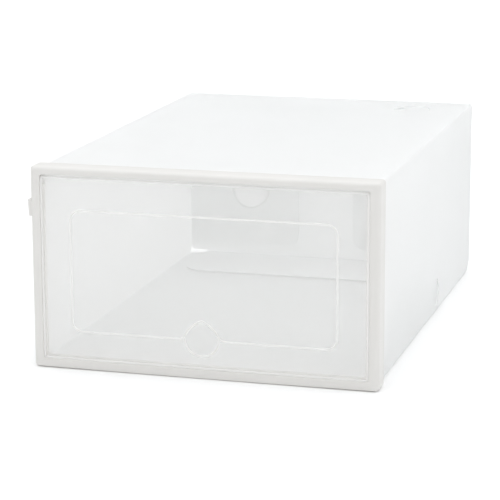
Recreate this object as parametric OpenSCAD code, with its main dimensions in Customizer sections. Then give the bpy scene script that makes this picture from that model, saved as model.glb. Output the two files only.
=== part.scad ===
// Folding shoe box: a creased translucent sheet body, a moulded front frame and a clear flip-up door.
// Millimetres. +Z up, -Y is the door side, origin at the middle of the base.

/* [Box] */

// Width over the front frame
frame_w = 230; // [220:1:260]

// Height over the front frame
frame_h = 133.3; // [128:0.1:150]

// Depth from the front of the frame to the back panel
box_d = 337; // [330:1:360]

/* [Front frame] */

// How far the frame's rim reaches back over the sheet
rim_d = 15; // [13:0.5:22]

// Thickness of the frame's face plate
face_t = 3.3; // [3.2:0.1:3.8]

// Width of the face border at the two sides
border_side = 6.3; // [6.1:0.1:6.6]

// Width of the face border at the top
border_top = 5.2; // [5.1:0.1:5.4]

// Width of the face border at the bottom
border_bottom = 6; // [5.6:0.1:6.4]

// Radius of the frame's rounded front edges
front_r = 2.8; // [1.5:0.1:3]

// Radius of the frame's corners seen from the front
corner_r = 2.2; // [1.5:0.1:3]

// Depth of the inner return that the sheet's edge plugs round
return_d = 12; // [10:0.5:13]

// How far the door stop ledge stands inside the opening
ledge_in = 3; // [2:0.1:4]

/* [Side lug] */

// Height of the side lug's lower end above the base
lug_z = 100.3; // [80:0.1:105]

// Length of the side lug
lug_h = 11; // [8:0.5:14]

// How far the side lug stands out at its top
lug_out = 2.3; // [1.5:0.1:3]

// How far the side lug stands out at its lower end
lug_out_low = 1.8; // [1:0.1:2]

/* [Door] */

// Thickness of the door plate
door_t = 1.6; // [1.4:0.1:1.6]

// Gap between the door and the frame's opening
door_gap = 0.4; // [0.3:0.05:0.5]

// Radius of the hinge pins moulded on the door
pin_r = 1.4; // [1.2:0.1:1.5]

// Running clearance of the hinge pins in their bores
pin_clear = 0.06; // [0.02:0.01:0.1]

// Half width of the raised line on the door
line_x = 88; // [70:1:95]

// Height of the raised line's lower run
line_z0 = 25.6; // [22:0.2:30]

// Height of the raised line's upper run
line_z1 = 105.6; // [90:0.2:110]

// Width of the raised line
line_w = 1.3; // [0.8:0.1:2]

// Radius of the round finger pull
pull_r = 11.6; // [9:0.2:13]

/* [Sheet body] */

// Thickness of the folded sheet
sheet_t = 0.8; // [0.6:0.1:0.8]

// Outside width of the folded sheet
sheet_w = 225; // [224.8:0.1:225]

// Outer radius of the sheet's creases
crease_r = 1.2; // [1:0.1:1.4]

// Radius of the top panel's half-round lock slit
slit_r = 13.4; // [10:0.2:15]

// Width of the lock slits
slit_w = 0.8; // [0.6:0.1:1.2]

// Length of the tuck flap
tuck_l = 66; // [40:1:66]

// Upward slope of the tuck flap, degrees
tuck_rise = 4.2; // [4.2:0.1:5]

/* [View] */

// Sub-part to draw

/* [Hidden] */

$fn = 96;

// all depths below are measured from the front of the frame, then moved by this
front_y = -box_d / 2;

// longer than any cut needs to be
far = 400;

// sheet outline, seen from the front
sheet_x = sheet_w / 2;
sheet_z0 = 2;
sheet_z1 = frame_h - 2;
inner_x = sheet_x - sheet_t;
floor_top = sheet_z0 + sheet_t;
ceiling = sheet_z1 - sheet_t;

// gap between the sheet and the groove that holds it, and between leaves that move
fit_gap = 0.3;

// groove and return of the frame
groove_x = sheet_x + fit_gap;
return_x = inner_x - fit_gap;
return_t = 2.2;

// opening of the frame
open_x = frame_w / 2 - border_side;
open_z0 = border_bottom;
open_z1 = frame_h - border_top;

// door
door_x = open_x - door_gap;
door_z0 = open_z0 + door_gap;
door_y0 = 0.8;
door_y1 = door_y0 + door_t;
lip_r = 3.1;
pin_y = door_y1 + 0.8;
pin_z = open_z1 - lip_r - door_gap;
pin_end = return_x - 0.5;
bore_end = return_x - 0.3;
ear_r = 2.2;
ear_w = 2.8;
rim_bead = 1.5;
bead_h = 0.4;
line_r = 7;
line_h = 0.5;
pull_z = 26.6;
pull_x = -0.6;
pull_lean = 6;
pull_drop = 6;
embed = 0.6;
flare_r = 4;
flare_x = pull_r + flare_r - 0.6;

// door stop ledge
ledge_y0 = door_y1 + 0.4;
ledge_y1 = ledge_y0 + 2.2;
ledge_top = pin_z - ear_r - 0.6;

// rear of the box, front to back: wall ends, dust flaps, back panel
back_y0 = box_d - sheet_t;
flap_y1 = back_y0 - 0.5;
flap_y0 = flap_y1 - sheet_t;
wall_y1 = flap_y0 - fit_gap;
top_y1 = back_y0 - fit_gap;
wall_y0 = face_t + fit_gap;
rear_corner_r = 9;

// tuck flap hinge line
tuck_z = floor_top + fit_gap + sheet_t;
tuck_x = 100;
tuck_corner_r = 15;

// dust flaps
dust_free_x = 21.6;
dust_low = 9.8;
dust_high = 13.2;
dust_corner_r = 8;

// seam flap inside the right wall
seam_x1 = inner_x - 0.4;
seam_y0 = 27;
seam_y1 = 212;
seam_top = 43;

// ---- outlines ----

// Rectangle from (x0, y0) to (x1, y1) with round corners
module round_rect(x0, y0, x1, y1, r) {
    translate([x0 + r, y0])
        square([x1 - x0 - 2 * r, y1 - y0]);
    translate([x0, y0 + r])
        square([x1 - x0, y1 - y0 - 2 * r]);
    for (x = [x0 + r, x1 - r], y = [y0 + r, y1 - r])
        translate([x, y])
            circle(r);
}

// Draws a front-view outline, x across and z up, as a plate from depth y0 to y1
module front_plate(y0, y1) {
    translate([0, y1, 0])
        rotate([90, 0, 0])
            linear_extrude(y1 - y0)
                children();
}

// Draws a side-view outline, y back and z up, as a plate from x0 to x1
module side_plate(x0, x1) {
    translate([x0, 0, 0])
        rotate([90, 0, 90])
            linear_extrude(x1 - x0)
                children();
}

// Tongue with a half-round end, its flat side on y = 0
module tongue(r, straight) {
    translate([-r, 0])
        square([2 * r, straight]);
    intersection() {
        translate([0, straight])
            circle(r);
        translate([-r, straight])
            square([2 * r, r]);
    }
}

// Slit round a lock tab, with a small relief hole at each end of its fold
module lock_slit(r, straight) {
    difference() {
        tongue(r, straight);
        translate([0, -slit_w])
            tongue(r - slit_w, straight + slit_w);
    }
    for (x = [-r + slit_w / 2, r - slit_w / 2])
        translate([x, 0])
            circle(slit_w);
}

// Upper half of the finger pull's outline: two arcs that meet in a point
module pull_upper(grow) {
    big = norm([pull_r + pull_lean, pull_drop]) + grow;
    intersection() {
        translate([-pull_lean, -pull_drop])
            circle(big);
        translate([pull_lean, -pull_drop])
            circle(big);
        translate([-2 * pull_r, 0])
            square([4 * pull_r, 2 * pull_r]);
    }
}

// ---- front frame ----

// Outer block with rounded front edges and corners
module frame_block() {
    intersection() {
        front_plate(0, rim_d)
            round_rect(-frame_w / 2, 0, frame_w / 2, frame_h, corner_r);
        linear_extrude(frame_h)
            round_rect(-frame_w / 2, 0, frame_w / 2, rim_d + far, front_r);
        side_plate(-frame_w / 2, frame_w / 2)
            round_rect(0, 0, rim_d + far, frame_h, front_r);
    }
}

// Groove that the sheet's front edge plugs into
module sheet_groove() {
    front_plate(face_t, rim_d + 1)
        difference() {
            round_rect(-groove_x, sheet_z0 - fit_gap, groove_x, sheet_z1 + fit_gap, crease_r + fit_gap);
            round_rect(-return_x, floor_top + fit_gap, return_x, ceiling - fit_gap, crease_r - 0.6);
        }
}

// Ledge that the closed door rests against, along the bottom and up both sides
module stop_ledge() {
    translate([-return_x + 1, ledge_y0, open_z0 - 2])
        cube([2 * return_x - 2, ledge_y1 - ledge_y0, ledge_in + 2]);
    for (side = [-1, 1])
        translate([side > 0 ? open_x - ledge_in : -return_x + 1, ledge_y0, open_z0 - 2])
            cube([return_x - 1 - open_x + ledge_in, ledge_y1 - ledge_y0, ledge_top - open_z0 + 2]);
}

// Lug on the left side that locates against the next box, thinner towards its lower end
module side_lug() {
    translate([0, 7.5, 0])
        rotate([90, 0, 0])
            linear_extrude(6)
                polygon([[-frame_w / 2 + 1, lug_z], [-frame_w / 2 - lug_out_low, lug_z],
                    [-frame_w / 2 - lug_out, lug_z + lug_h], [-frame_w / 2 + 1, lug_z + lug_h]]);
}

module front_frame() {
    color([0.9, 0.9, 0.88])
        translate([0, front_y, 0])
            difference() {
                union() {
                    difference() {
                        frame_block();
                        front_plate(-1, face_t)
                            round_rect(-open_x, open_z0, open_x, open_z1, 1);
                        front_plate(face_t, rim_d + 1)
                            round_rect(-return_x + return_t, floor_top + fit_gap + return_t,
                                return_x - return_t, ceiling - fit_gap - return_t, 1);
                        sheet_groove();
                        // the return is shorter than the rim
                        front_plate(return_d, rim_d + 1)
                            round_rect(-groove_x, sheet_z0 - fit_gap, groove_x, sheet_z1 + fit_gap,
                                crease_r + fit_gap);
                    }
                    stop_ledge();
                    side_lug();
                }
                // bores for the door's pins
                for (side = [-1, 1])
                    translate([side * bore_end, pin_y, pin_z])
                        rotate([0, -side * 90, 0])
                            cylinder(h = bore_end - open_x + 1, r = pin_r + pin_clear);
            }
}

// ---- door ----

// Plate whose top edge is rounded about the hinge line
module door_plate() {
    side_plate(-door_x, door_x) {
        translate([door_y0, door_z0])
            square([door_t, pin_z - door_z0]);
        intersection() {
            translate([door_y0, pin_z])
                square([door_t, lip_r]);
            translate([pin_y, pin_z])
                circle(lip_r);
        }
    }
}

// Raised line: a round-cornered frame that sweeps over the finger pull
module raised_line() {
    half = line_w / 2;
    difference() {
        round_rect(-line_x - half, line_z0 - half, line_x + half, line_z1 + half, line_r + half);
        round_rect(-line_x + half, line_z0 + half, line_x - half, line_z1 - half, line_r - half);
        translate([pull_x - flare_x, line_z0 - 2])
            square([2 * flare_x, 4]);
    }
    // flares from the lower run up into the pull's outline
    for (side = [-1, 1])
        translate([pull_x + side * flare_x, line_z0 + flare_r])
            intersection() {
                difference() {
                    circle(flare_r + half);
                    circle(flare_r - half);
                }
                translate([side > 0 ? -flare_r - half : 0, -flare_r - half])
                    square([flare_r + half, flare_r + half]);
            }
    // upper half of the pull's outline
    translate([pull_x, pull_z])
        difference() {
            pull_upper(half);
            pull_upper(-half);
        }
}

// Lower, shallower half of the pull's outline
module pull_lower_line() {
    half = line_w / 2;
    translate([pull_x, pull_z])
        intersection() {
            difference() {
                circle(pull_r + half);
                circle(pull_r - half);
            }
            translate([-2 * pull_r, -2 * pull_r])
                square([4 * pull_r, 2 * pull_r]);
        }
}

module door() {
    color([0.93, 0.94, 0.95, 0.4])
        translate([0, front_y, 0]) {
            difference() {
                union() {
                    intersection() {
                        door_plate();
                        front_plate(0, rim_d)
                            round_rect(-door_x, door_z0, door_x, pin_z + 2 * lip_r, 1.5);
                    }
                    // rim bead round the edge
                    front_plate(door_y0 - bead_h, door_y0 + embed)
                        difference() {
                            round_rect(-door_x, door_z0, door_x, pin_z + 1.4, 1.5);
                            round_rect(-door_x + rim_bead, door_z0 + rim_bead, door_x - rim_bead,
                                pin_z - 0.1, 1);
                        }
                    front_plate(door_y0 - line_h, door_y0 + embed)
                        raised_line();
                    front_plate(door_y0 - line_h / 2, door_y0 + embed)
                        pull_lower_line();
                    // ears and pins
                    for (side = [-1, 1])
                        translate([side * (door_x - ear_w), pin_y, pin_z])
                            rotate([0, side * 90, 0]) {
                                cylinder(h = ear_w, r = ear_r);
                                cylinder(h = pin_end - door_x + ear_w, r = pin_r);
                            }
                }
                // shallow dish of the finger pull
                translate([pull_x, door_y0 + 0.5, pull_z])
                    rotate([90, 0, 0])
                        cylinder(h = far, r = pull_r - 2.4);
            }
        }
}

// ---- sheet body ----

// Quarter-round crease in the corner, from the wall's end to the floor's or top's edge
module crease(corner_x, corner_z, toward_x, toward_z) {
    translate([corner_x + toward_x * crease_r, corner_z + toward_z * crease_r])
        intersection() {
            difference() {
                circle(crease_r);
                circle(crease_r - sheet_t);
            }
            translate([toward_x > 0 ? -crease_r : 0, toward_z > 0 ? -crease_r : 0])
                square(crease_r);
        }
}

// Side outline of a wall with its rear lower corner rounded
module wall_outline() {
    difference() {
        translate([wall_y0, sheet_z0])
            square([wall_y1 - wall_y0, sheet_z1 - sheet_z0]);
        translate([wall_y1 - rear_corner_r, sheet_z0 - 1])
            difference() {
                square([rear_corner_r + 1, rear_corner_r + 1]);
                translate([0, rear_corner_r + 1])
                    circle(rear_corner_r);
            }
    }
}

module floor_panel() {
    color([0.92, 0.93, 0.92, 0.7])
        translate([0, front_y, 0])
            translate([0, 0, sheet_z0])
                linear_extrude(sheet_t)
                    difference() {
                        translate([-sheet_x + crease_r, wall_y0])
                            square([sheet_x - crease_r + seam_x1 - crease_r, wall_y1 - wall_y0]);
                        // rear corners are cut away with the walls' rounding
                        for (side = [-1, 1])
                            translate([side > 0 ? seam_x1 - crease_r - 1 : -sheet_x, wall_y1 - rear_corner_r])
                                square([crease_r + 1, rear_corner_r + 1]);
                    }
}

module left_wall() {
    color([0.92, 0.93, 0.92, 0.7])
        translate([0, front_y, 0])
            intersection() {
                front_plate(wall_y0, wall_y1) {
                    translate([-sheet_x, sheet_z0 + crease_r])
                        square([sheet_t, sheet_z1 - sheet_z0 - 2 * crease_r]);
                    crease(-sheet_x, sheet_z0, 1, 1);
                    crease(-sheet_x, sheet_z1, 1, -1);
                }
                side_plate(-sheet_x - 1, 0)
                    wall_outline();
            }
}

module top_panel() {
    color([0.95, 0.96, 0.96, 0.8])
        translate([0, front_y, ceiling])
            linear_extrude(sheet_t)
                difference() {
                    translate([-sheet_x + crease_r, wall_y0])
                        square([2 * (sheet_x - crease_r), top_y1 - wall_y0]);
                    translate([73.6, 296.6])
                        lock_slit(slit_r, 3.4);
                }
}

module right_wall() {
    color([0.92, 0.93, 0.92, 0.7])
        translate([0, front_y, 0])
            difference() {
                intersection() {
                    // the wall's lower edge is free and ends above the floor's crease
                    front_plate(wall_y0, wall_y1) {
                        translate([inner_x, sheet_z0 + crease_r])
                            square([sheet_t, sheet_z1 - sheet_z0 - 2 * crease_r]);
                        crease(sheet_x, sheet_z1, -1, -1);
                    }
                    side_plate(0, sheet_x + 1)
                        wall_outline();
                }
                // lock slit whose flat side stands upright
                side_plate(inner_x - 1, sheet_x + 1)
                    translate([198, 16])
                        rotate(-90)
                            lock_slit(9.5, 4);
            }
}

module seam_flap() {
    color([0.9, 0.91, 0.9, 0.7])
        translate([0, front_y, 0])
            intersection() {
                front_plate(seam_y0, seam_y1) {
                    translate([seam_x1 - sheet_t, sheet_z0 + crease_r])
                        square([sheet_t, seam_top - sheet_z0 - crease_r]);
                    crease(seam_x1, sheet_z0, -1, 1);
                }
                // round front corner; the top edge falls towards a nose at the rear end
                side_plate(0, sheet_x)
                    difference() {
                        round_rect(seam_y0, sheet_z0 - 12, seam_y1, seam_top, 10);
                        polygon([[80, seam_top], [150, 38], [180, 25], [seam_y1 - 8, 24.5],
                            [seam_y1, 16.5], [seam_y1 + 1, seam_top + 1], [80, seam_top + 1]]);
                    }
            }
}

// Outline of the left dust flap, seen from the front
module dust_outline() {
    top = ceiling - 0.4;
    difference() {
        polygon([[-sheet_x, dust_low], [-dust_free_x - 11, dust_high],
            [-dust_free_x, dust_high + dust_corner_r], [-dust_free_x, top], [-sheet_x, top]]);
        translate([-62, 56.6])
            rotate(180)
                lock_slit(13.6, 0.5);
    }
}

module left_dust_flap() {
    color([0.91, 0.92, 0.91, 0.7])
        translate([0, front_y, 0])
            front_plate(flap_y0, flap_y1)
                dust_outline();
}

module right_dust_flap() {
    color([0.91, 0.92, 0.91, 0.7])
        translate([0, front_y, 0])
            front_plate(flap_y0, flap_y1)
                mirror([1, 0])
                    dust_outline();
}

module back_panel() {
    color([0.92, 0.93, 0.92, 0.7])
        translate([0, front_y, 0])
            front_plate(back_y0, box_d)
                translate([-sheet_x, tuck_z])
                    square([2 * sheet_x, ceiling - tuck_z]);
}

module tuck_flap() {
    color([0.93, 0.94, 0.93, 0.7])
        translate([0, front_y + back_y0, tuck_z])
            rotate([-tuck_rise, 0, 0])
                translate([0, -tuck_l, -sheet_t])
                    linear_extrude(sheet_t)
                        difference() {
                            round_rect(-tuck_x, 0, tuck_x, tuck_l + 2 * tuck_corner_r, tuck_corner_r);
                            translate([-far, tuck_l - fit_gap])
                                square([2 * far, far]);
                        }
}

front_frame();
door();
floor_panel();
left_wall();
top_panel();
right_wall();
seam_flap();
left_dust_flap();
right_dust_flap();
back_panel();
tuck_flap();
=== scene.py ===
import math

import bmesh
import bpy
from mathutils import Matrix, Vector


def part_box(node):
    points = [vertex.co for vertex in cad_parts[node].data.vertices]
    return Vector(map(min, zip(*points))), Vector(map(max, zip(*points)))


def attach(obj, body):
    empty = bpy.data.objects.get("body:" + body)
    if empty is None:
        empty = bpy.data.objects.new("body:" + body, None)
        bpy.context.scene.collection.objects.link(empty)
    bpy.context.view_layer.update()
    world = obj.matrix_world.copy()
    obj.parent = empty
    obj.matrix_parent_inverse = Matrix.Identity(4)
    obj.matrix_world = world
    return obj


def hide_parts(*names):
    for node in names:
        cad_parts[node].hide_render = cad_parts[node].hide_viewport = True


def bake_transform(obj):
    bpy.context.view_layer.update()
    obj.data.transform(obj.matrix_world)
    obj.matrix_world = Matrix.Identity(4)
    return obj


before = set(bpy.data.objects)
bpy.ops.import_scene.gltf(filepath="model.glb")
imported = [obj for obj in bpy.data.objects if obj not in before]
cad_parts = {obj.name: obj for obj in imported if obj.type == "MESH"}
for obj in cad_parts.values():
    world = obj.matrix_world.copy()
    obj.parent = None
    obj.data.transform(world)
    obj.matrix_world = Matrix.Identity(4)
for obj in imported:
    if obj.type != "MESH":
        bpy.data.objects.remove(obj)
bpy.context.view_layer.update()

MM = 0.001

# ---- sizes from the CAD, in millimetres; depths y are measured from the front of the frame ----

frame_lo, frame_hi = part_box("front_frame")
_, back_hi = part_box("back_panel")
FRONT = frame_lo[1]
HALF_W = frame_hi[0] / MM
HEIGHT = frame_hi[2] / MM
RIM_D = (frame_hi[1] - frame_lo[1]) / MM
DEPTH = (back_hi[1] - FRONT) / MM

SHEET_T = 0.8
SHEET_X = back_hi[0] / MM
SHEET_Z0 = 2.0
SHEET_Z1 = HEIGHT - 2.0
CREASE_R = 1.2
FACE_T = 3.3
OPEN_X = HALF_W - 6.3
OPEN_Z0 = 6.0
OPEN_Z1 = HEIGHT - 5.2
DOOR_X = OPEN_X - 0.4
DOOR_Z0 = OPEN_Z0 + 0.4
DOOR_FACE_Y = 0.8
PIN_Y = 3.2
PIN_Z = OPEN_Z1 - 3.5
WALL_Y0 = FACE_T + 0.3
BACK_Y0 = DEPTH - SHEET_T
FLAP_Y1 = BACK_Y0 - 0.5
FLAP_Y0 = FLAP_Y1 - SHEET_T
WALL_Y1 = FLAP_Y0 - 0.3
TOP_Y1 = BACK_Y0 - 0.3
TUCK_Z = 3.9
FLAP_GAP = 0.4


def point(x, y, z):
    """A point given in millimetres, y measured from the front of the frame, as the row frame's metres."""
    return Vector((x * MM, y * MM + FRONT, z * MM))


# ---- mesh helpers ----

def new_piece(name, bm, mats, body, nodes=(), angle=35.0):
    """Turns a bmesh into a piece with its materials and body, and hides the CAD nodes it stands for."""
    mesh = bpy.data.meshes.new(name)
    bmesh.ops.recalc_face_normals(bm, faces=bm.faces)
    bm.to_mesh(mesh)
    bm.free()
    for p in mesh.polygons:
        p.use_smooth = True
    mesh.set_sharp_from_angle(angle=math.radians(angle))
    for m in mats:
        mesh.materials.append(m)
    obj = bpy.data.objects.new(name, mesh)
    bpy.context.scene.collection.objects.link(obj)
    if body:
        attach(obj, body)
    if nodes:
        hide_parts(*nodes)
    return obj


def rect_loop(x0, z0, x1, z1, r, along=12):
    """Points of a round-cornered rectangle, anticlockwise from its lower right corner."""
    turn = 6
    pts = []
    corners = [(x1 - r, z0 + r, -90), (x1 - r, z1 - r, 0), (x0 + r, z1 - r, 90), (x0 + r, z0 + r, 180)]
    for i, (cx, cz, a0) in enumerate(corners):
        arc = [
            (
                cx + r * math.cos(math.radians(a0 + 90 * k / turn)),
                cz + r * math.sin(math.radians(a0 + 90 * k / turn)),
            )
            for k in range(turn + 1)
        ]
        pts.extend(arc)
        nx, nz, na = corners[(i + 1) % 4]
        end = (nx + r * math.cos(math.radians(na)), nz + r * math.sin(math.radians(na)))
        for k in range(1, along):
            t = k / along
            pts.append((arc[-1][0] + (end[0] - arc[-1][0]) * t, arc[-1][1] + (end[1] - arc[-1][1]) * t))
    return pts


def loft(bm, rings, closed_path=False, caps=False):
    """Skins a row of rings. closed_path joins the last ring to the first, caps close the two ends."""
    rows = [[bm.verts.new(p) for p in ring] for ring in rings]
    n = len(rows[0])
    last = len(rows) if closed_path else len(rows) - 1
    for i in range(last):
        a, b = rows[i], rows[(i + 1) % len(rows)]
        for j in range(n):
            k = (j + 1) % n
            bm.faces.new((a[j], a[k], b[k], b[j]))
    if caps:
        bm.faces.new(rows[0][::-1])
        bm.faces.new(rows[-1])


def ring_y(x, z0, z1, r, y):
    """One round-cornered ring, symmetric in x, at depth y."""
    return [point(px, y, pz) for px, pz in rect_loop(-x, z0, x, z1, r)]


def thin_grid(bm, rows, thickness, normal):
    """A plate from a grid of points: the grid is one side, and the other lies thickness along normal. Returns its
    faces, row by row."""
    n = len(rows[0])
    off = Vector(normal) * thickness * MM
    front = [[bm.verts.new(p) for p in row] for row in rows]
    back = [[bm.verts.new(p + off) for p in row] for row in rows]
    faces = []
    for i in range(len(rows) - 1):
        for j in range(n - 1):
            faces.append(bm.faces.new((front[i][j], front[i][j + 1], front[i + 1][j + 1], front[i + 1][j])))
            faces.append(bm.faces.new((back[i][j], back[i + 1][j], back[i + 1][j + 1], back[i][j + 1])))
    rim_f = front[0] + [r[-1] for r in front[1:-1]] + front[-1][::-1] + [r[0] for r in front[-2:0:-1]]
    rim_b = back[0] + [r[-1] for r in back[1:-1]] + back[-1][::-1] + [r[0] for r in back[-2:0:-1]]
    for j in range(len(rim_f)):
        k = (j + 1) % len(rim_f)
        faces.append(bm.faces.new((rim_f[j], rim_b[j], rim_b[k], rim_f[k])))
    return faces


def cut(obj, cutter_bm):
    """Takes a closed shape away from a piece's mesh."""
    mesh = bpy.data.meshes.new("cutter")
    bmesh.ops.recalc_face_normals(cutter_bm, faces=cutter_bm.faces)
    cutter_bm.to_mesh(mesh)
    cutter_bm.free()
    cutter = bpy.data.objects.new("cutter", mesh)
    bpy.context.scene.collection.objects.link(cutter)
    mod = obj.modifiers.new("cut", "BOOLEAN")
    mod.operation = "DIFFERENCE"
    mod.solver = "EXACT"
    mod.object = cutter
    bpy.context.view_layer.update()
    dg = bpy.context.evaluated_depsgraph_get()
    made = bpy.data.meshes.new_from_object(obj.evaluated_get(dg), depsgraph=dg)
    made.name = obj.data.name
    obj.modifiers.remove(mod)
    obj.data = made
    for p in made.polygons:
        p.use_smooth = True
    made.set_sharp_from_angle(angle=math.radians(35))
    bpy.data.objects.remove(cutter)


def edge_bevel(obj, width, segments=2):
    """Rounds a piece's sharp edges; width is in millimetres."""
    mod = obj.modifiers.new("edge", "BEVEL")
    mod.width = width * MM
    mod.segments = segments
    mod.limit_method = "ANGLE"
    mod.angle_limit = math.radians(50)
    mod.harden_normals = True


# ---- materials ----

PLASTIC_IOR = 1.49


def tree(name):
    """A new material and its empty node tree."""
    mat = bpy.data.materials.new(name)
    mat.use_nodes = True
    nt = mat.node_tree
    nt.nodes.clear()
    return mat, nt


def node(nt, kind, **values):
    """A new node with its properties or input sockets set."""
    n = nt.nodes.new(kind)
    for key, value in values.items():
        if hasattr(n, key):
            setattr(n, key, value)
        else:
            n.inputs[key.replace("_", " ")].default_value = value
    return n


def object_noise(nt, scale, detail, stretch=(1, 1, 1)):
    """Noise in the piece's own space, so that it stays put as the piece moves."""
    coord = node(nt, "ShaderNodeTexCoord")
    mapping = node(nt, "ShaderNodeMapping")
    mapping.inputs["Scale"].default_value = stretch
    noise = node(nt, "ShaderNodeTexNoise", Scale=scale, Detail=detail, Roughness=0.55)
    nt.links.new(coord.outputs["Object"], mapping.inputs["Vector"])
    nt.links.new(mapping.outputs["Vector"], noise.inputs["Vector"])
    return noise.outputs["Fac"]


def ramp(nt, value, low, high):
    """Colours a noise value from low to high."""
    r = node(nt, "ShaderNodeValToRGB")
    r.color_ramp.elements[0].position = 0.3
    r.color_ramp.elements[1].position = 0.7
    r.color_ramp.elements[0].color = (*low, 1)
    r.color_ramp.elements[1].color = (*high, 1)
    nt.links.new(value, r.inputs["Fac"])
    return r.outputs["Color"]


def spread(nt, value, lo, hi):
    """Maps a 0 to 1 value to lo to hi."""
    m = node(nt, "ShaderNodeMapRange")
    m.inputs["To Min"].default_value = lo
    m.inputs["To Max"].default_value = hi
    nt.links.new(value, m.inputs["Value"])
    return m.outputs["Result"]


def bump(nt, height, strength, distance, normal=None):
    """A bumped normal, on top of another one if it is given."""
    b = node(nt, "ShaderNodeBump", Strength=strength, Distance=distance)
    nt.links.new(height, b.inputs["Height"])
    if normal is not None:
        nt.links.new(normal, b.inputs["Normal"])
    return b.outputs["Normal"]


def sheet_plastic(name, dark, light, through, clear):
    """Frosted polypropylene sheet: scatters light back and through, with a faint see-through share.
    through is the share that goes on through the sheet, clear the share that passes straight."""
    mat, nt = tree(name)
    cloud = object_noise(nt, 16, detail=3)
    streaks = object_noise(nt, 240, detail=5, stretch=(1, 0.12, 1))
    grain = object_noise(nt, 2600, detail=2)
    colour = ramp(nt, cloud, dark, light)
    normal = bump(nt, streaks, 0.16, 0.00025)
    normal = bump(nt, grain, 0.22, 0.00006, normal)
    face = node(nt, "ShaderNodeBsdfPrincipled")
    face.inputs["IOR"].default_value = PLASTIC_IOR
    nt.links.new(colour, face.inputs["Base Color"])
    nt.links.new(spread(nt, streaks, 0.34, 0.5), face.inputs["Roughness"])
    nt.links.new(normal, face.inputs["Normal"])
    glow = node(nt, "ShaderNodeBsdfTranslucent")
    nt.links.new(colour, glow.inputs["Color"])
    nt.links.new(normal, glow.inputs["Normal"])
    body = node(nt, "ShaderNodeMixShader")
    body.inputs["Fac"].default_value = through
    nt.links.new(face.outputs[0], body.inputs[1])
    nt.links.new(glow.outputs[0], body.inputs[2])
    see = node(nt, "ShaderNodeBsdfTransparent")
    out_mix = node(nt, "ShaderNodeMixShader")
    out_mix.inputs["Fac"].default_value = clear
    nt.links.new(body.outputs[0], out_mix.inputs[1])
    nt.links.new(see.outputs[0], out_mix.inputs[2])
    out = node(nt, "ShaderNodeOutputMaterial")
    nt.links.new(out_mix.outputs[0], out.inputs["Surface"])
    return mat


def moulded_plastic(name, dark, light):
    """White injection-moulded plastic: a fine even grain and slight flow marks."""
    mat, nt = tree(name)
    cloud = object_noise(nt, 30, detail=3)
    flow = object_noise(nt, 300, detail=4, stretch=(0.15, 1, 1))
    grain = object_noise(nt, 3200, detail=2)
    face = node(nt, "ShaderNodeBsdfPrincipled")
    face.inputs["IOR"].default_value = PLASTIC_IOR
    nt.links.new(ramp(nt, cloud, dark, light), face.inputs["Base Color"])
    nt.links.new(spread(nt, flow, 0.36, 0.5), face.inputs["Roughness"])
    normal = bump(nt, flow, 0.1, 0.0002)
    nt.links.new(bump(nt, grain, 0.2, 0.00005, normal), face.inputs["Normal"])
    out = node(nt, "ShaderNodeOutputMaterial")
    nt.links.new(face.outputs[0], out.inputs["Surface"])
    return mat


def clear_plastic(name, haze, through, tint, haze_colour):
    """Clear moulded plastic seen as a thin pane: passes light straight, mirrors at a glance, with a little haze.
    through is the share of the haze's light that goes on through the pane."""
    mat, nt = tree(name)
    cloud = object_noise(nt, 22, detail=3)
    wave = object_noise(nt, 45, detail=2)
    see = node(nt, "ShaderNodeBsdfTransparent")
    see.inputs["Color"].default_value = (*tint, 1)
    gloss = node(nt, "ShaderNodeBsdfGlossy")
    gloss.inputs["Roughness"].default_value = 0.09
    nt.links.new(bump(nt, wave, 0.25, 0.0006), gloss.inputs["Normal"])
    # a thin pane mirrors alike from both sides: about 4% face on, rising steeply at a glance
    facing = node(nt, "ShaderNodeLayerWeight")
    facing.inputs["Blend"].default_value = 0.5
    steep = node(nt, "ShaderNodeMath", operation="POWER")
    steep.inputs[1].default_value = 5.0
    nt.links.new(facing.outputs["Facing"], steep.inputs[0])
    mirror = node(nt, "ShaderNodeMath", operation="MULTIPLY_ADD")
    mirror.inputs[1].default_value = 0.9
    mirror.inputs[2].default_value = 0.04
    nt.links.new(steep.outputs[0], mirror.inputs[0])
    pane = node(nt, "ShaderNodeMixShader")
    nt.links.new(mirror.outputs[0], pane.inputs["Fac"])
    nt.links.new(see.outputs[0], pane.inputs[1])
    nt.links.new(gloss.outputs[0], pane.inputs[2])
    milk = node(nt, "ShaderNodeBsdfDiffuse")
    milk.inputs["Color"].default_value = (*haze_colour, 1)
    glow = node(nt, "ShaderNodeBsdfTranslucent")
    glow.inputs["Color"].default_value = (*haze_colour, 1)
    milk_mix = node(nt, "ShaderNodeMixShader")
    milk_mix.inputs["Fac"].default_value = through
    nt.links.new(milk.outputs[0], milk_mix.inputs[1])
    nt.links.new(glow.outputs[0], milk_mix.inputs[2])
    both = node(nt, "ShaderNodeMixShader")
    nt.links.new(spread(nt, cloud, haze * 0.95, haze * 1.05), both.inputs["Fac"])
    nt.links.new(pane.outputs[0], both.inputs[1])
    nt.links.new(milk_mix.outputs[0], both.inputs[2])
    out = node(nt, "ShaderNodeOutputMaterial")
    nt.links.new(both.outputs[0], out.inputs["Surface"])
    return mat


WALL_TONES = (0.972, 0.974, 0.973), (0.982, 0.984, 0.983)
FLAP_TONES = (0.95, 0.953, 0.952), (0.964, 0.967, 0.965)
# dust-flap tabs: a brighter, more reflective copy of the flap sheet, painted highlight where the lifted tab
# catches light
TAB_HIGHLIGHT_TONES = (0.985, 0.985, 0.982), (0.992, 0.992, 0.99)
# a dark band along the tab's cut edge: painted shadow in the gap round the tab
TAB_RIM_SHADOW_TONES = (0.79, 0.79, 0.785), (0.82, 0.82, 0.815)
CREASE_TONES = (0.97, 0.975, 0.975), (0.98, 0.985, 0.985)
EDGE_TINT = (0.985, 0.985, 0.985)

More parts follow.
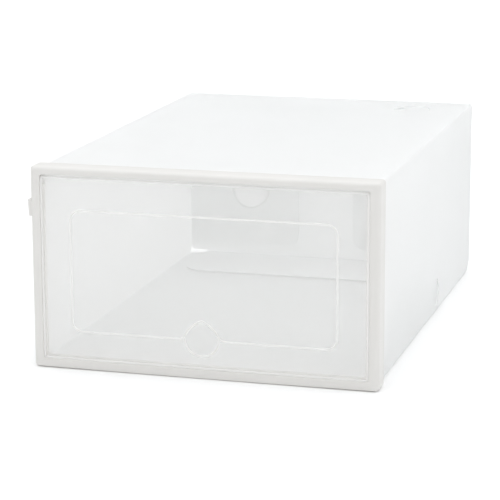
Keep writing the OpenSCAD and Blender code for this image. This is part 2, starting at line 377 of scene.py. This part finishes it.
SHEET = sheet_plastic("frosted_sheet", *WALL_TONES, through=0.64, clear=0.04)
INNER = sheet_plastic("frosted_flaps", *FLAP_TONES, through=0.7, clear=0.04)
# the back panel is the same sheet, letting less light through so its inside reads darker: painted shade
REAR = sheet_plastic("frosted_rear", *FLAP_TONES, through=0.45, clear=0.03)
# the tuck flap is the same sheet, made mostly reflective so its top reads brighter: painted light
TUCK = sheet_plastic("frosted_tuck", *WALL_TONES, through=0.15, clear=0.02)
TAB_PAINTED_HIGHLIGHT = sheet_plastic("frosted_tab_painted_highlight", *TAB_HIGHLIGHT_TONES, through=0.3, clear=0.02)
TAB_RIM_PAINTED_SHADOW = sheet_plastic("frosted_cut_rim_painted_shadow", *TAB_RIM_SHADOW_TONES, through=0.3, clear=0.02)
CREASE = sheet_plastic("crease_white", *CREASE_TONES, through=0.4, clear=0.02)
WHITE = moulded_plastic("moulded_white", (0.737, 0.725, 0.701), (0.757, 0.745, 0.724))
# the ledge is the same white plastic as the frame, painted much brighter: painted light in the shaded recess
# behind the door
LEDGE_PAINTED_LIGHT = moulded_plastic("moulded_ledge_painted_light", (0.935, 0.925, 0.91), (0.955, 0.945, 0.93))
CLEAR = clear_plastic("clear_pane", 0.232, 0.5, (0.988, 0.988, 0.988), (0.975, 0.964, 0.953))
# door rim and ears: a milkier pane, in part for thicker plastic and in part a painted highlight on the edges
CLEAR_EDGE_PAINTED_HIGHLIGHT = clear_plastic("clear_edges_painted_highlight", 0.85, 0.35, EDGE_TINT, (0.96, 0.955, 0.95))
CLEAR_LINE = clear_plastic("clear_lines", 0.68, 0.45, EDGE_TINT, (0.98, 0.975, 0.97))


# ---- front frame ----

def make_frame():
    """The front frame, one closed skin: its rim, round front edge, opening, inner return and sheet groove."""
    bm = bmesh.new()
    edge_r, corner_r, edge_steps = 2.8, 2.2, 7
    # each ring: inset from the outline, depth, corner radius
    rings = [
        (0.25, RIM_D, corner_r - 0.2),
        (0.0, RIM_D - 0.25, corner_r),
        (0.0, 9.0, corner_r),
        (0.0, edge_r, corner_r),
    ]
    for k in range(1, edge_steps + 1):
        a = math.radians(90 * k / edge_steps)
        inset = edge_r * (1 - math.cos(a))
        rings.append((inset, edge_r * (1 - math.sin(a)), corner_r - 0.35 * inset))
    # the lower edge is rounded less than the others, so it stands close to the floor
    loops = [ring_y(HALF_W - i, 0.35 * i, HEIGHT - i, cr, y) for i, y, cr in rings]
    # the sides and the lower edge close up to the door; the top leaves room for its turning lip
    tight = 0.28
    # each ring: half width, bottom, top, corner radius, depth
    opening = [
        (OPEN_X + 0.15, OPEN_Z0 - 0.15, OPEN_Z1 + 0.3, 1.3, 0.0),
        (OPEN_X - 0.1, OPEN_Z0 + 0.1, OPEN_Z1 + 0.1, 1.1, 0.08),
        (OPEN_X - tight, OPEN_Z0 + tight, OPEN_Z1, 1.0, 0.35),
        (OPEN_X - tight, OPEN_Z0 + tight, OPEN_Z1, 1.0, FACE_T - 0.2),
        (OPEN_X, OPEN_Z0, OPEN_Z1 - 0.02, 1.0, FACE_T),
        (OPEN_X + 0.5, OPEN_Z0 - 0.7, OPEN_Z1 - 0.1, 1.0, FACE_T + 0.01),
        (OPEN_X + 0.5, OPEN_Z0 - 0.7, OPEN_Z1 - 0.1, 1.0, 11.7),
        (OPEN_X + 0.8, OPEN_Z0 - 1.0, OPEN_Z1 + 0.2, 1.0, 12.0),
        (OPEN_X + 2.5, SHEET_Z0 + 1.3, OPEN_Z1 + 1.9, 1.0, 12.0),
        (OPEN_X + 2.7, SHEET_Z0 + 1.1, OPEN_Z1 + 2.1, 1.0, 11.7),
        (OPEN_X + 2.7, SHEET_Z0 + 1.1, OPEN_Z1 + 2.1, 1.0, FACE_T),
        (SHEET_X + 0.3, SHEET_Z0 - 0.3, SHEET_Z1 + 0.3, 1.5, FACE_T),
        (SHEET_X + 0.3, SHEET_Z0 - 0.3, SHEET_Z1 + 0.3, 1.5, RIM_D - 0.2),
        (SHEET_X + 0.5, SHEET_Z0 - 0.5, SHEET_Z1 + 0.5, 1.6, RIM_D),
    ]
    loops += [ring_y(*o) for o in opening]
    loft(bm, loops, closed_path=True)
    # the lower bar's ends stand a little higher than its middle
    bow, bow_height = 0.45, 8
    for v in bm.verts:
        low = max(0.0, 1 - v.co.z / (bow_height * MM))
        v.co.z += bow * MM * low * (v.co.x / (HALF_W * MM)) ** 2
    piece = new_piece("front_frame_moulding", bm, [WHITE], "frame", ["front_frame"], 40)

    bore_r = 1.46
    for side in (-1, 1):
        bore = bmesh.new()
        ends = [side * (OPEN_X - 1), side * (OPEN_X + 2.4)]
        loft(bore, [circle_x(x, PIN_Y, PIN_Z, bore_r, 24) for x in ends], caps=True)
        cut(piece, bore)


def box_between(bm, lo, hi):
    """A plain block between two corners."""
    rings = [
        [point(x, lo[1], lo[2]), point(x, hi[1], lo[2]), point(x, hi[1], hi[2]), point(x, lo[1], hi[2])]
        for x in (lo[0], hi[0])
    ]
    loft(bm, rings, caps=True)


def circle_x(x, y, z, r, n):
    """A circle of points about an axis along x."""
    return [
        point(x, y + r * math.cos(2 * math.pi * k / n), z + r * math.sin(2 * math.pi * k / n)) for k in range(n)
    ]


def make_ledge():
    """The ledge that the closed door rests on, along the opening's lower edge and sides."""
    bm = bmesh.new()
    y0, y1 = 2.8, 5.0
    root, width = 0.6, 3
    box_between(bm, (-OPEN_X - root, y0, OPEN_Z0 - 0.9), (OPEN_X + root, y1, OPEN_Z0 + width))
    for side in (-1, 1):
        xs = sorted((side * (OPEN_X - width), side * (OPEN_X + root)))
        box_between(bm, (xs[0], y0, OPEN_Z0 + width), (xs[1], y1, PIN_Z - 2.8))
    # painted light: a brighter copy of the frame's white lifts the shade in the recess behind the door
    piece = new_piece("front_frame_ledge", bm, [LEDGE_PAINTED_LIGHT], "frame", [], 30)
    edge_bevel(piece, 0.3)


def make_lug():
    """The lug on the frame's left side. It stands out further at its upper end."""
    bm = bmesh.new()
    z0, z1 = 100.3, 111.3
    root, low, high = HALF_W - 0.6, HALF_W + 1.8, HALF_W + 2.3
    rings = [
        [point(-root, y, z0), point(-low, y, z0), point(-high, y, z1), point(-root, y, z1)] for y in (1.5, 7.5)
    ]
    loft(bm, rings, caps=True)
    piece = new_piece("front_frame_lug", bm, [WHITE], "frame", [], 30)
    edge_bevel(piece, 0.4, 3)


# ---- door ----

LINE_X = 88.0
LINE_Z0 = 25.6
LINE_Z1 = 105.6
LINE_R = 7.0
PULL_X = -0.6
PULL_Z = 26.6
PULL_R = 11.6
PULL_LEAN = 6.0
PULL_DROP = 6.0
FLARE_R = 4.0
FLARE_X = PULL_R + FLARE_R - 0.6


def arc(cx, cz, r, a0, a1, n):
    """Points along a circle from angle a0 to a1 in degrees."""
    return [
        (
            cx + r * math.cos(math.radians(a0 + (a1 - a0) * k / n)),
            cz + r * math.sin(math.radians(a0 + (a1 - a0) * k / n)),
        )
        for k in range(n + 1)
    ]


def raised_line_path():
    """The raised line: round-cornered, sweeping up over the finger pull to a point."""
    left, right = PULL_X - FLARE_X, PULL_X + FLARE_X
    big = math.hypot(PULL_R + PULL_LEAN, PULL_DROP)
    low = PULL_Z - PULL_DROP
    tip = math.sqrt(big**2 - PULL_LEAN**2)
    # the direction in which the flare's circle and the outline's circle touch
    a0 = math.degrees(math.atan2(LINE_Z0 + FLARE_R - low, FLARE_X + PULL_LEAN))
    a1 = math.degrees(math.atan2(tip, PULL_LEAN))
    pts = [(left, LINE_Z0)]
    pts += arc(-LINE_X + LINE_R, LINE_Z0 + LINE_R, LINE_R, 270, 180, 10)
    pts += arc(-LINE_X + LINE_R, LINE_Z1 - LINE_R, LINE_R, 180, 90, 10)
    pts += arc(LINE_X - LINE_R, LINE_Z1 - LINE_R, LINE_R, 90, 0, 10)
    pts += arc(LINE_X - LINE_R, LINE_Z0 + LINE_R, LINE_R, 0, -90, 10)
    pts += arc(right, LINE_Z0 + FLARE_R, FLARE_R, 270, 182 + a0, 8)
    pts += arc(PULL_X - PULL_LEAN, low, big, a0 + 2, a1, 12)
    pts += arc(PULL_X + PULL_LEAN, low, big, 180 - a1, 178 - a0, 12)[1:]
    pts += arc(left, LINE_Z0 + FLARE_R, FLARE_R, -2 - a0, -90, 8)[:-1]
    return pts


def bead(bm, path, width, height, closed):
    """A half-round bead along a path on the door's front face, its foot sunk a little into the plate."""
    sink = 0.1
    n = len(path)
    rings = []
    for i, (x, z) in enumerate(path):
        px, pz = path[i - 1] if closed or i else path[i]
        nx, nz = path[(i + 1) % n] if closed or i < n - 1 else path[i]
        ax, az = x - px, z - pz
        bx, bz = nx - x, nz - z
        la, lb = math.hypot(ax, az) or 1.0, math.hypot(bx, bz) or 1.0
        tx, tz = ax / la + bx / lb, az / la + bz / lb
        tl = math.hypot(tx, tz) or 1.0
        tx, tz = tx / tl, tz / tl
        # keeps the bead's width where the path turns
        turn = abs(tx * (bx / lb if (bx or bz) else ax / la) + tz * (bz / lb if (bx or bz) else az / la))
        w = width / 2 / max(turn, 0.6)
        ring = []
        for k in range(9):
            a = math.pi * k / 8
            u, h = -math.cos(a) * w, math.sin(a) * height
            ring.append(point(x - tz * u, DOOR_FACE_Y - h, z + tx * u))
        ring.append(point(x - tz * w, DOOR_FACE_Y + sink, z + tx * w))
        ring.append(point(x + tz * w, DOOR_FACE_Y + sink, z - tx * w))
        rings.append(ring)
    loft(bm, rings, closed_path=closed, caps=not closed)


def make_door():
    """The door: plate with its rim bead, finger pull, raised lines, ears and pins."""
    bm = bmesh.new()
    top = PIN_Z + 3.0

    def ring(inset, y, z_top):
        pts = rect_loop(-DOOR_X + inset, DOOR_Z0 + inset, DOOR_X - inset, z_top, 1.5)
        return [point(x, y, z) for x, z in pts]

    rear = ring(4.0, 2.4, top - 4.0)
    outer = [
        ring(0.35, 2.4, top - 0.3),
        ring(0.1, 2.3, top - 0.1),
        ring(0.0, 2.05, top - 0.1),
        ring(0.0, 1.4, top - 0.35),
        ring(0.0, 0.75, top - 1.0),
        ring(0.12, 0.5, top - 1.25),
        ring(0.4, 0.4, top - 1.5),
        ring(1.1, 0.4, top - 2.1),
        ring(1.4, 0.55, top - 2.4),
        ring(1.6, DOOR_FACE_Y, top - 2.6),
    ]
    inner = ring(4.0, DOOR_FACE_Y, top - 5.0)
    loft(bm, [rear] + outer + [inner], caps=True)
    # the rim bead is thicker and takes a milkier, whiter pane; that whiteness is also a painted highlight along
    # the door's edge
    rim_w = 1.45
    for f in bm.faces:
        c = f.calc_center_median()
        near = min(DOOR_X - abs(c.x) / MM, c.z / MM - DOOR_Z0, top - c.z / MM)
        if near < rim_w:
            f.material_index = 1
    piece = new_piece("door_plate", bm, [CLEAR, CLEAR_EDGE_PAINTED_HIGHLIGHT], "flip_door", ["door"], 40)

    # shallow dish of the finger pull: a ball flattened to a lens bites into the plate
    dish = bmesh.new()
    depth, rim = 0.7, PULL_R - 2.4
    bmesh.ops.create_uvsphere(dish, u_segments=96, v_segments=64, radius=1.0)
    for v in dish.verts:
        x, y, z = v.co
        v.co = point(PULL_X + x * rim, DOOR_FACE_Y + z * depth, PULL_Z + y * rim)
    cut(piece, dish)

    lines = bmesh.new()
    line_w = 1.3
    bead(lines, raised_line_path(), line_w, 0.5, True)
    bead(lines, arc(PULL_X, PULL_Z, PULL_R, 180, 360, 40), line_w, 0.25, False)
    new_piece("door_raised_lines", lines, [CLEAR_LINE], "flip_door", [], 60)

    ears = bmesh.new()
    ear_r, pin_r = 2.2, 1.4
    # each section: distance from the middle, radius
    sections = [
        (DOOR_X - 2.8, ear_r - 0.25),
        (DOOR_X - 2.6, ear_r),
        (DOOR_X - 0.2, ear_r),
        (DOOR_X, ear_r - 0.2),
        (DOOR_X, pin_r),
        (DOOR_X + 2.3, pin_r),
        (DOOR_X + 2.6, pin_r - 0.25),
    ]
    for side in (-1, 1):
        loft(ears, [circle_x(side * x, PIN_Y, PIN_Z, r, 28) for x, r in sections], caps=True)
    new_piece("door_hinge_ears", ears, [CLEAR_EDGE_PAINTED_HIGHLIGHT], "flip_door", [], 40)


# ---- sheet body ----

SIDE_ROUND = 9.0


def wall_end(z):
    """Depth at which a side wall ends, with its rear lower corner rounded."""
    up = z - SHEET_Z0
    if up >= SIDE_ROUND:
        return WALL_Y1
    return WALL_Y1 - SIDE_ROUND + math.sqrt(max(0.0, SIDE_ROUND**2 - (SIDE_ROUND - up) ** 2))


def bulge(x, y, z):
    """How far the sheet's panels stand off flat, in millimetres: free spans bow, ends are held."""
    side_bow, top_sag = 0.7, 0.9
    t = min(1.0, max(0.0, (y - 15) / (DEPTH - 30)))
    span = math.sin(math.pi * t) ** 0.8 if 0 < t < 1 else 0.0
    dx = dz = 0.0
    if abs(x) > SHEET_X - 2.5:
        up = (z - SHEET_Z0) / (SHEET_Z1 - SHEET_Z0)
        dx = math.copysign(side_bow, x) * span * math.sin(math.pi * min(1, max(0, up)))
    if z > SHEET_Z1 - 2.5:
        across = (x / SHEET_X + 1) / 2
        dz = -top_sag * span * math.sin(math.pi * min(1, max(0, across)))
    return dx, dz


def make_tube():
    """The four walls: one sheet wrapped round, with round creases at its four long edges."""
    bm = bmesh.new()
    steps = 36

    def section(inset, r):
        return rect_loop(-SHEET_X + inset, SHEET_Z0 + inset, SHEET_X - inset, SHEET_Z1 - inset, r, along=22)

    outer, inner = section(0, CREASE_R), section(SHEET_T, CREASE_R - SHEET_T)

    def row(pts, t):
        out = []
        for (x, z), (ox, oz) in zip(pts, outer):
            if oz > SHEET_Z1 - 0.3:
                end = TOP_Y1
            elif abs(ox) > SHEET_X - CREASE_R * 0.9:
                end = wall_end(oz)
            else:
                end = WALL_Y1
            y = WALL_Y0 + (end - WALL_Y0) * t
            dx, dz = bulge(ox, y, oz)
            out.append(point(x + dx, y, z + dz))
        return out

    rings = [row(outer, k / steps) for k in range(steps + 1)]
    rings += [row(inner, 1 - k / steps) for k in range(steps + 1)]
    loft(bm, rings, closed_path=True)
    return new_piece(
        "sheet_walls", bm, [SHEET], "tube",
        ["floor_panel", "left_wall", "top_panel", "right_wall"], 50,
    )


def tongue_outline(r, straight, n=24):
    """Half-round tongue in its own plane: flat side on v = 0, bulging to +v."""
    pts = [(-r, 0.0)]
    pts += [(-r * math.cos(math.pi * k / n), straight + r * math.sin(math.pi * k / n)) for k in range(n + 1)]
    pts.append((r, 0.0))
    return pts


def lock_tab(name, pieces, place, r, straight, lift, twist, body, mat, rim):
    """Cuts a lock tab's slit out of one or more leaves and hangs the tab back in it. The tab's free end stands
    off by lift (negative is inwards), and its left corner by twist on top of that. rim is the material of the
    band along its cut edge; a dark rim there is painted shadow in the gap round the tab. place maps (across,
    along, out of the sheet) in millimetres to a point."""
    reach, gap = 4, 0.55
    for piece in pieces:
        hole = bmesh.new()
        loft(
            hole, [[place(u, v, w) for u, v in tongue_outline(r, straight)] for w in (-reach, reach)], caps=True
        )
        cut(piece, hole)
    bm = bmesh.new()
    rows = []
    length = straight + r - gap
    outline = [p for p in tongue_outline(r - gap, straight, 40) if p[1] > -0.01]
    for shrink in (1.0, 0.915, 0.83, 0.72, 0.6, 0.48, 0.36, 0.24, 0.12, 0.01):
        row = []
        for u, v in ((pu * shrink, max(0.0, pv * shrink)) for pu, pv in outline):
            corner = ((1 - u / r) / 2) ** 5 * min(1.0, v / 4)
            row.append(place(u, v, lift * (v / length) ** 1.25 + twist * corner))
        rows.append(row)
    normal = (place(0, 0, 1) - place(0, 0, 0)).normalized()
    faces = thin_grid(bm, rows, -SHEET_T, normal)
    # the outermost band of faces along the cut edge takes the rim material; a dark rim is painted shadow in the
    # gap
    for face in faces[: 2 * (len(outline) - 1)]:
        face.material_index = 1
    return new_piece(name, bm, [mat, rim], body, [], 50)


def make_seam_flap():
    """The flap that joins the floor to the right wall, inside the wall."""
    bm = bmesh.new()
    x1 = SHEET_X - SHEET_T - FLAP_GAP
    y0, y1, top, corner = 27.0, 212.0, 43.0, 10
    # its root lies on the floor panel
    foot = SHEET_Z0 + SHEET_T + 0.1
    # its upper edge behind the front corner: depth, height
    edge = [(y0 + corner, top), (80, top), (150, 38), (172, 28.5), (182, 25)]
    edge += [(200, 24.3), (207, 21.5), (211, 16.5), (y1, 9)]
    rows = []
    n = 74
    for k in range(n + 1):
        y = y0 + (y1 - y0) * k / n
        if y < y0 + corner:
            reach = top - corner + math.sqrt(max(0, corner**2 - (corner - (y - y0)) ** 2))
        else:
            i = max(i for i, (ey, ez) in enumerate(edge[:-1]) if ey <= y + 1e-6)
            (ya, za), (yb, zb) = edge[i], edge[i + 1]
            reach = za + (zb - za) * (y - ya) / (yb - ya)
        column = [
            point(x1 - CREASE_R + CREASE_R * math.sin(a), y, foot + CREASE_R - CREASE_R * math.cos(a))
            for a in (math.radians(15 * s) for s in range(7))
        ]
        column += [
            point(x1, y, foot + CREASE_R + (reach - foot - CREASE_R) * s / 8) for s in range(1, 9)
        ]
        rows.append(column)
    thin_grid(bm, rows, -SHEET_T, (1, 0, 0))
    return new_piece("seam_flap_sheet", bm, [INNER], "tube", ["seam_flap"], 50)


def make_dust_flap(side):
    """One dust flap with its lock tab; side is -1 for the left flap, 1 for the right one."""
    bm = bmesh.new()
    free, low, high, corner, corner_rise = 21.6, 9.8, 13.2, 11.0, 8
    bow_depth, bow_reach = 5.0, 60
    tab_x, tab_top = side * 62, 56.6
    top = SHEET_Z1 - SHEET_T - FLAP_GAP
    rows = []
    n = 30
    for k in range(n + 1):
        s = (SHEET_X - FLAP_GAP - free) * (1 - (k / n)) ** 1.3
        x = free + s
        foot = low + (high - low) * min(1.0, (SHEET_X - x) / (SHEET_X - free - corner))
        if s < corner:
            foot = high + corner_rise * (1 - math.sqrt(max(0.0, 1 - (1 - s / corner) ** 2)))
        bow = -bow_depth * max(0.0, 1 - s / bow_reach) ** 2
        rows.append([point(side * x, FLAP_Y0 + bow, foot + (top - foot) * j / 16) for j in range(17)])
    thin_grid(bm, rows, SHEET_T, (0, 1, 0))
    word = "left" if side < 0 else "right"
    piece = new_piece(
        f"{word}_dust_flap_sheet", bm, [INNER], f"{word}_flap", [f"{word}_dust_flap"], 50
    )
    lock_tab(
        f"{word}_dust_flap_tab", [piece], lambda u, v, w: point(tab_x + u, FLAP_Y0 - w, tab_top - v),
        # the tab takes a painted highlight, and its rim a painted shadow for the gap round it
        r=15.2, straight=0.5, lift=3.7, twist=0.0, body=f"{word}_flap", mat=TAB_PAINTED_HIGHLIGHT, rim=TAB_RIM_PAINTED_SHADOW,
    )


def make_back():
    """The back panel, which closes the rear end."""
    bm = bmesh.new()
    rows = []
    top, foot = SHEET_Z1 - SHEET_T - 0.9, TUCK_Z + 0.9
    for k in range(31):
        z = foot + (top - foot) * k / 30
        half = SHEET_X - (1.0 if k == 0 else 0.15)
        rows.append([point(half * (2 * j / 24 - 1), BACK_Y0, z) for j in range(25)])
    thin_grid(bm, rows, SHEET_T, (0, 1, 0))
    new_piece("back_panel_sheet", bm, [REAR], "back", ["back_panel"], 50)


def make_tuck():
    """The tuck flap. It leaves the back panel's foot at a rise and droops towards the floor."""
    bm = bmesh.new()
    rise = math.radians(4.2)
    half_w, length, corner, droop, crown = 100.0, 66.0, 15.0, 4.4, 0.25
    rows = []
    n = 28
    for k in range(n + 1):
        s = 0.9 + (length - 0.9) * (1 - (1 - k / n) ** 1.5)
        half = half_w
        left = length - s
        if left < corner:
            half -= corner - math.sqrt(max(0, corner**2 - (corner - left) ** 2))
        row = []
        for j in range(25):
            x = half * (2 * j / 24 - 1)
            lift = (crown * (1 - (x / half_w) ** 2) - droop) * (s / length) ** 2
            row.append(point(x, BACK_Y0 - s * math.cos(rise), TUCK_Z + s * math.sin(rise) - 0.5 + lift))
        rows.append(row)
    thin_grid(bm, rows, -SHEET_T, (0, math.sin(rise), math.cos(rise)))
    new_piece("tuck_flap_sheet", bm, [TUCK], "tuck", ["tuck_flap"], 50)


def crease_strip(name, across, centre, start, end, half):
    """A thin living hinge bent a quarter turn between two bodies. centre is a point on the pivot line, start and
    end are unit directions from it to the strip's two ends, and half is the hinge's half length along across."""
    bm = bmesh.new()
    radius, thin, steps, n = 0.72, 0.42, 8, 20
    c, s, e, along = Vector(centre), Vector(start), Vector(end), Vector(across) * half * MM
    # the strip's outline across the hinge: a short leaf, a quarter turn, a short leaf
    outline = [(s * radius - e * (1.2 - 0.4 * k), s) for k in range(3)]
    for k in range(steps + 1):
        turn = math.radians(90 * k / steps)
        way = s * math.cos(turn) + e * math.sin(turn)
        outline.append((way * radius, way))
    outline += [(e * radius - s * (0.4 + 0.4 * k), e) for k in range(3)]
    outer = [[bm.verts.new(c + p * MM + along * (2 * j / n - 1)) for j in range(n + 1)] for p, _ in outline]
    inner = [
        [bm.verts.new(c + (p - way * thin) * MM + along * (2 * j / n - 1)) for j in range(n + 1)]
        for p, way in outline
    ]
    for j in range(n):
        bm.faces.new((outer[0][j], inner[0][j], inner[0][j + 1], outer[0][j + 1]))
        bm.faces.new((outer[-1][j], outer[-1][j + 1], inner[-1][j + 1], inner[-1][j]))
    for i in range(len(outline) - 1):
        for j in range(n):
            bm.faces.new((outer[i][j], outer[i][j + 1], outer[i + 1][j + 1], outer[i + 1][j]))
            bm.faces.new((inner[i][j], inner[i + 1][j], inner[i + 1][j + 1], inner[i][j + 1]))
        bm.faces.new((outer[i][0], outer[i + 1][0], inner[i + 1][0], inner[i][0]))
        bm.faces.new((outer[i][n], inner[i][n], inner[i + 1][n], outer[i + 1][n]))
    piece = new_piece(name, bm, [CREASE], None, [], 60)
    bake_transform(piece)


make_frame()
make_ledge()
make_lug()
make_door()
tube = make_tube()
seam = make_seam_flap()
lock_tab(
    "top_lock_tab", [tube], lambda u, v, w: point(73.6 + u, 296.6 + v, SHEET_Z1 - 0.25 + w),
    r=13.4, straight=3.4, lift=-0.1, twist=-3.2, body="tube", mat=SHEET, rim=SHEET,
)
# this tongue is pushed in through the seam flap and holds it
lock_tab(
    "side_lock_tab", [tube, seam], lambda u, v, w: point(SHEET_X + 0.1 + w, 198 + v, 16 + u),
    r=9.5, straight=4.0, lift=-1.0, twist=0.0, body="tube", mat=SHEET, rim=SHEET,
)
make_dust_flap(-1)
make_dust_flap(1)
make_back()
make_tuck()
crease_strip(
    "back_crease_strip", (1, 0, 0), point(0, BACK_Y0, SHEET_Z1 - SHEET_T),
    start=(0, 0, 1), end=(0, 1, 0), half=SHEET_X - 1,
)
crease_strip(
    "tuck_crease_strip", (1, 0, 0), point(0, BACK_Y0, TUCK_Z),
    start=(0, 1, 0), end=(0, 0, -1), half=99,
)
for side, word in ((-1, "left"), (1, "right")):
    crease_strip(
        f"{word}_flap_crease_strip", (0, 0, 1),
        point(side * (SHEET_X - SHEET_T), FLAP_Y0 - 0.3, 73), start=(side, 0, 0), end=(0, 1, 0), half=55,
    )


# ---- floor, light, camera ----

def make_floor():
    """A plain pale floor, 24 m wide."""
    bm = bmesh.new()
    bmesh.ops.create_grid(bm, x_segments=1, y_segments=1, size=12)
    mesh = bpy.data.meshes.new("studio_floor")
    bm.to_mesh(mesh)
    bm.free()
    floor = bpy.data.objects.new("studio_floor", mesh)
    bpy.context.scene.collection.objects.link(floor)
    mat, nt = tree("floor_white")
    face = node(nt, "ShaderNodeBsdfDiffuse")
    tone = ramp(nt, object_noise(nt, 6, detail=3), (0.893, 0.893, 0.893), (0.907, 0.907, 0.907))
    nt.links.new(tone, face.inputs["Color"])
    # a light table: the floor gives a little light of its own
    glow = node(nt, "ShaderNodeEmission")
    glow.inputs["Strength"].default_value = 0.045
    lit = node(nt, "ShaderNodeAddShader")
    nt.links.new(face.outputs[0], lit.inputs[0])
    nt.links.new(glow.outputs[0], lit.inputs[1])
    out = node(nt, "ShaderNodeOutputMaterial")
    nt.links.new(lit.outputs[0], out.inputs["Surface"])
    mesh.materials.append(mat)


def make_light():
    """Soft studio light: a dome that brightens overhead and a little towards the right."""
    horizon, overhead_gain, right_gain = 0.463, 1.6, 0.1
    world = bpy.data.worlds.new("studio")
    world.use_nodes = True
    bpy.context.scene.world = world
    nt = world.node_tree
    nt.nodes.clear()
    coord = node(nt, "ShaderNodeTexCoord")
    split = node(nt, "ShaderNodeSeparateXYZ")
    nt.links.new(coord.outputs["Generated"], split.inputs[0])
    up = node(nt, "ShaderNodeMath", operation="MAXIMUM")
    up.inputs[1].default_value = 0.0
    nt.links.new(split.outputs["Z"], up.inputs[0])
    square = node(nt, "ShaderNodeMath", operation="POWER")
    square.inputs[1].default_value = 2.0
    nt.links.new(up.outputs[0], square.inputs[0])
    overhead = node(nt, "ShaderNodeMath", operation="MULTIPLY_ADD")
    overhead.inputs[1].default_value = overhead_gain
    overhead.inputs[2].default_value = horizon
    nt.links.new(square.outputs[0], overhead.inputs[0])
    side = node(nt, "ShaderNodeMath", operation="MULTIPLY_ADD")
    side.inputs[1].default_value = right_gain
    nt.links.new(split.outputs["X"], side.inputs[0])
    nt.links.new(overhead.outputs[0], side.inputs[2])
    back = node(nt, "ShaderNodeBackground")
    back.inputs["Color"].default_value = (0.985, 0.993, 1.0, 1)
    nt.links.new(side.outputs[0], back.inputs["Strength"])
    out = node(nt, "ShaderNodeOutputWorld")
    nt.links.new(back.outputs[0], out.inputs["Surface"])


def make_camera():
    """A long lens in front of the box, to its right and a little above it."""
    az, el, roll = math.radians(15.89), math.radians(12.96), math.radians(-0.2)
    back = Vector((math.sin(az) * math.cos(el), -math.cos(az) * math.cos(el), math.sin(el)))
    across = Vector((math.cos(az), math.sin(az), 0))
    up = back.cross(across)
    x = across * math.cos(roll) + up * math.sin(roll)
    y = back.cross(x)
    data = bpy.data.cameras.new("camera")
    data.sensor_width = 36.0
    data.lens = 149.95
    data.clip_start, data.clip_end = 0.05, 60.0
    cam = bpy.data.objects.new("camera", data)
    bpy.context.scene.collection.objects.link(cam)
    m = Matrix((x, y, back)).transposed().to_4x4()
    m.translation = point(379.7, -1222.2, 379.3)
    cam.matrix_world = m
    bpy.context.scene.camera = cam


make_floor()
make_light()
make_camera()
bpy.context.scene.view_settings.view_transform = "Standard"
bpy.context.scene.view_settings.look = "None"
# light passes through two or more leaves of sheet before it reaches the eye
bpy.context.scene.cycles.max_bounces = 24
bpy.context.scene.cycles.diffuse_bounces = 14
bpy.context.scene.cycles.transparent_max_bounces = 24
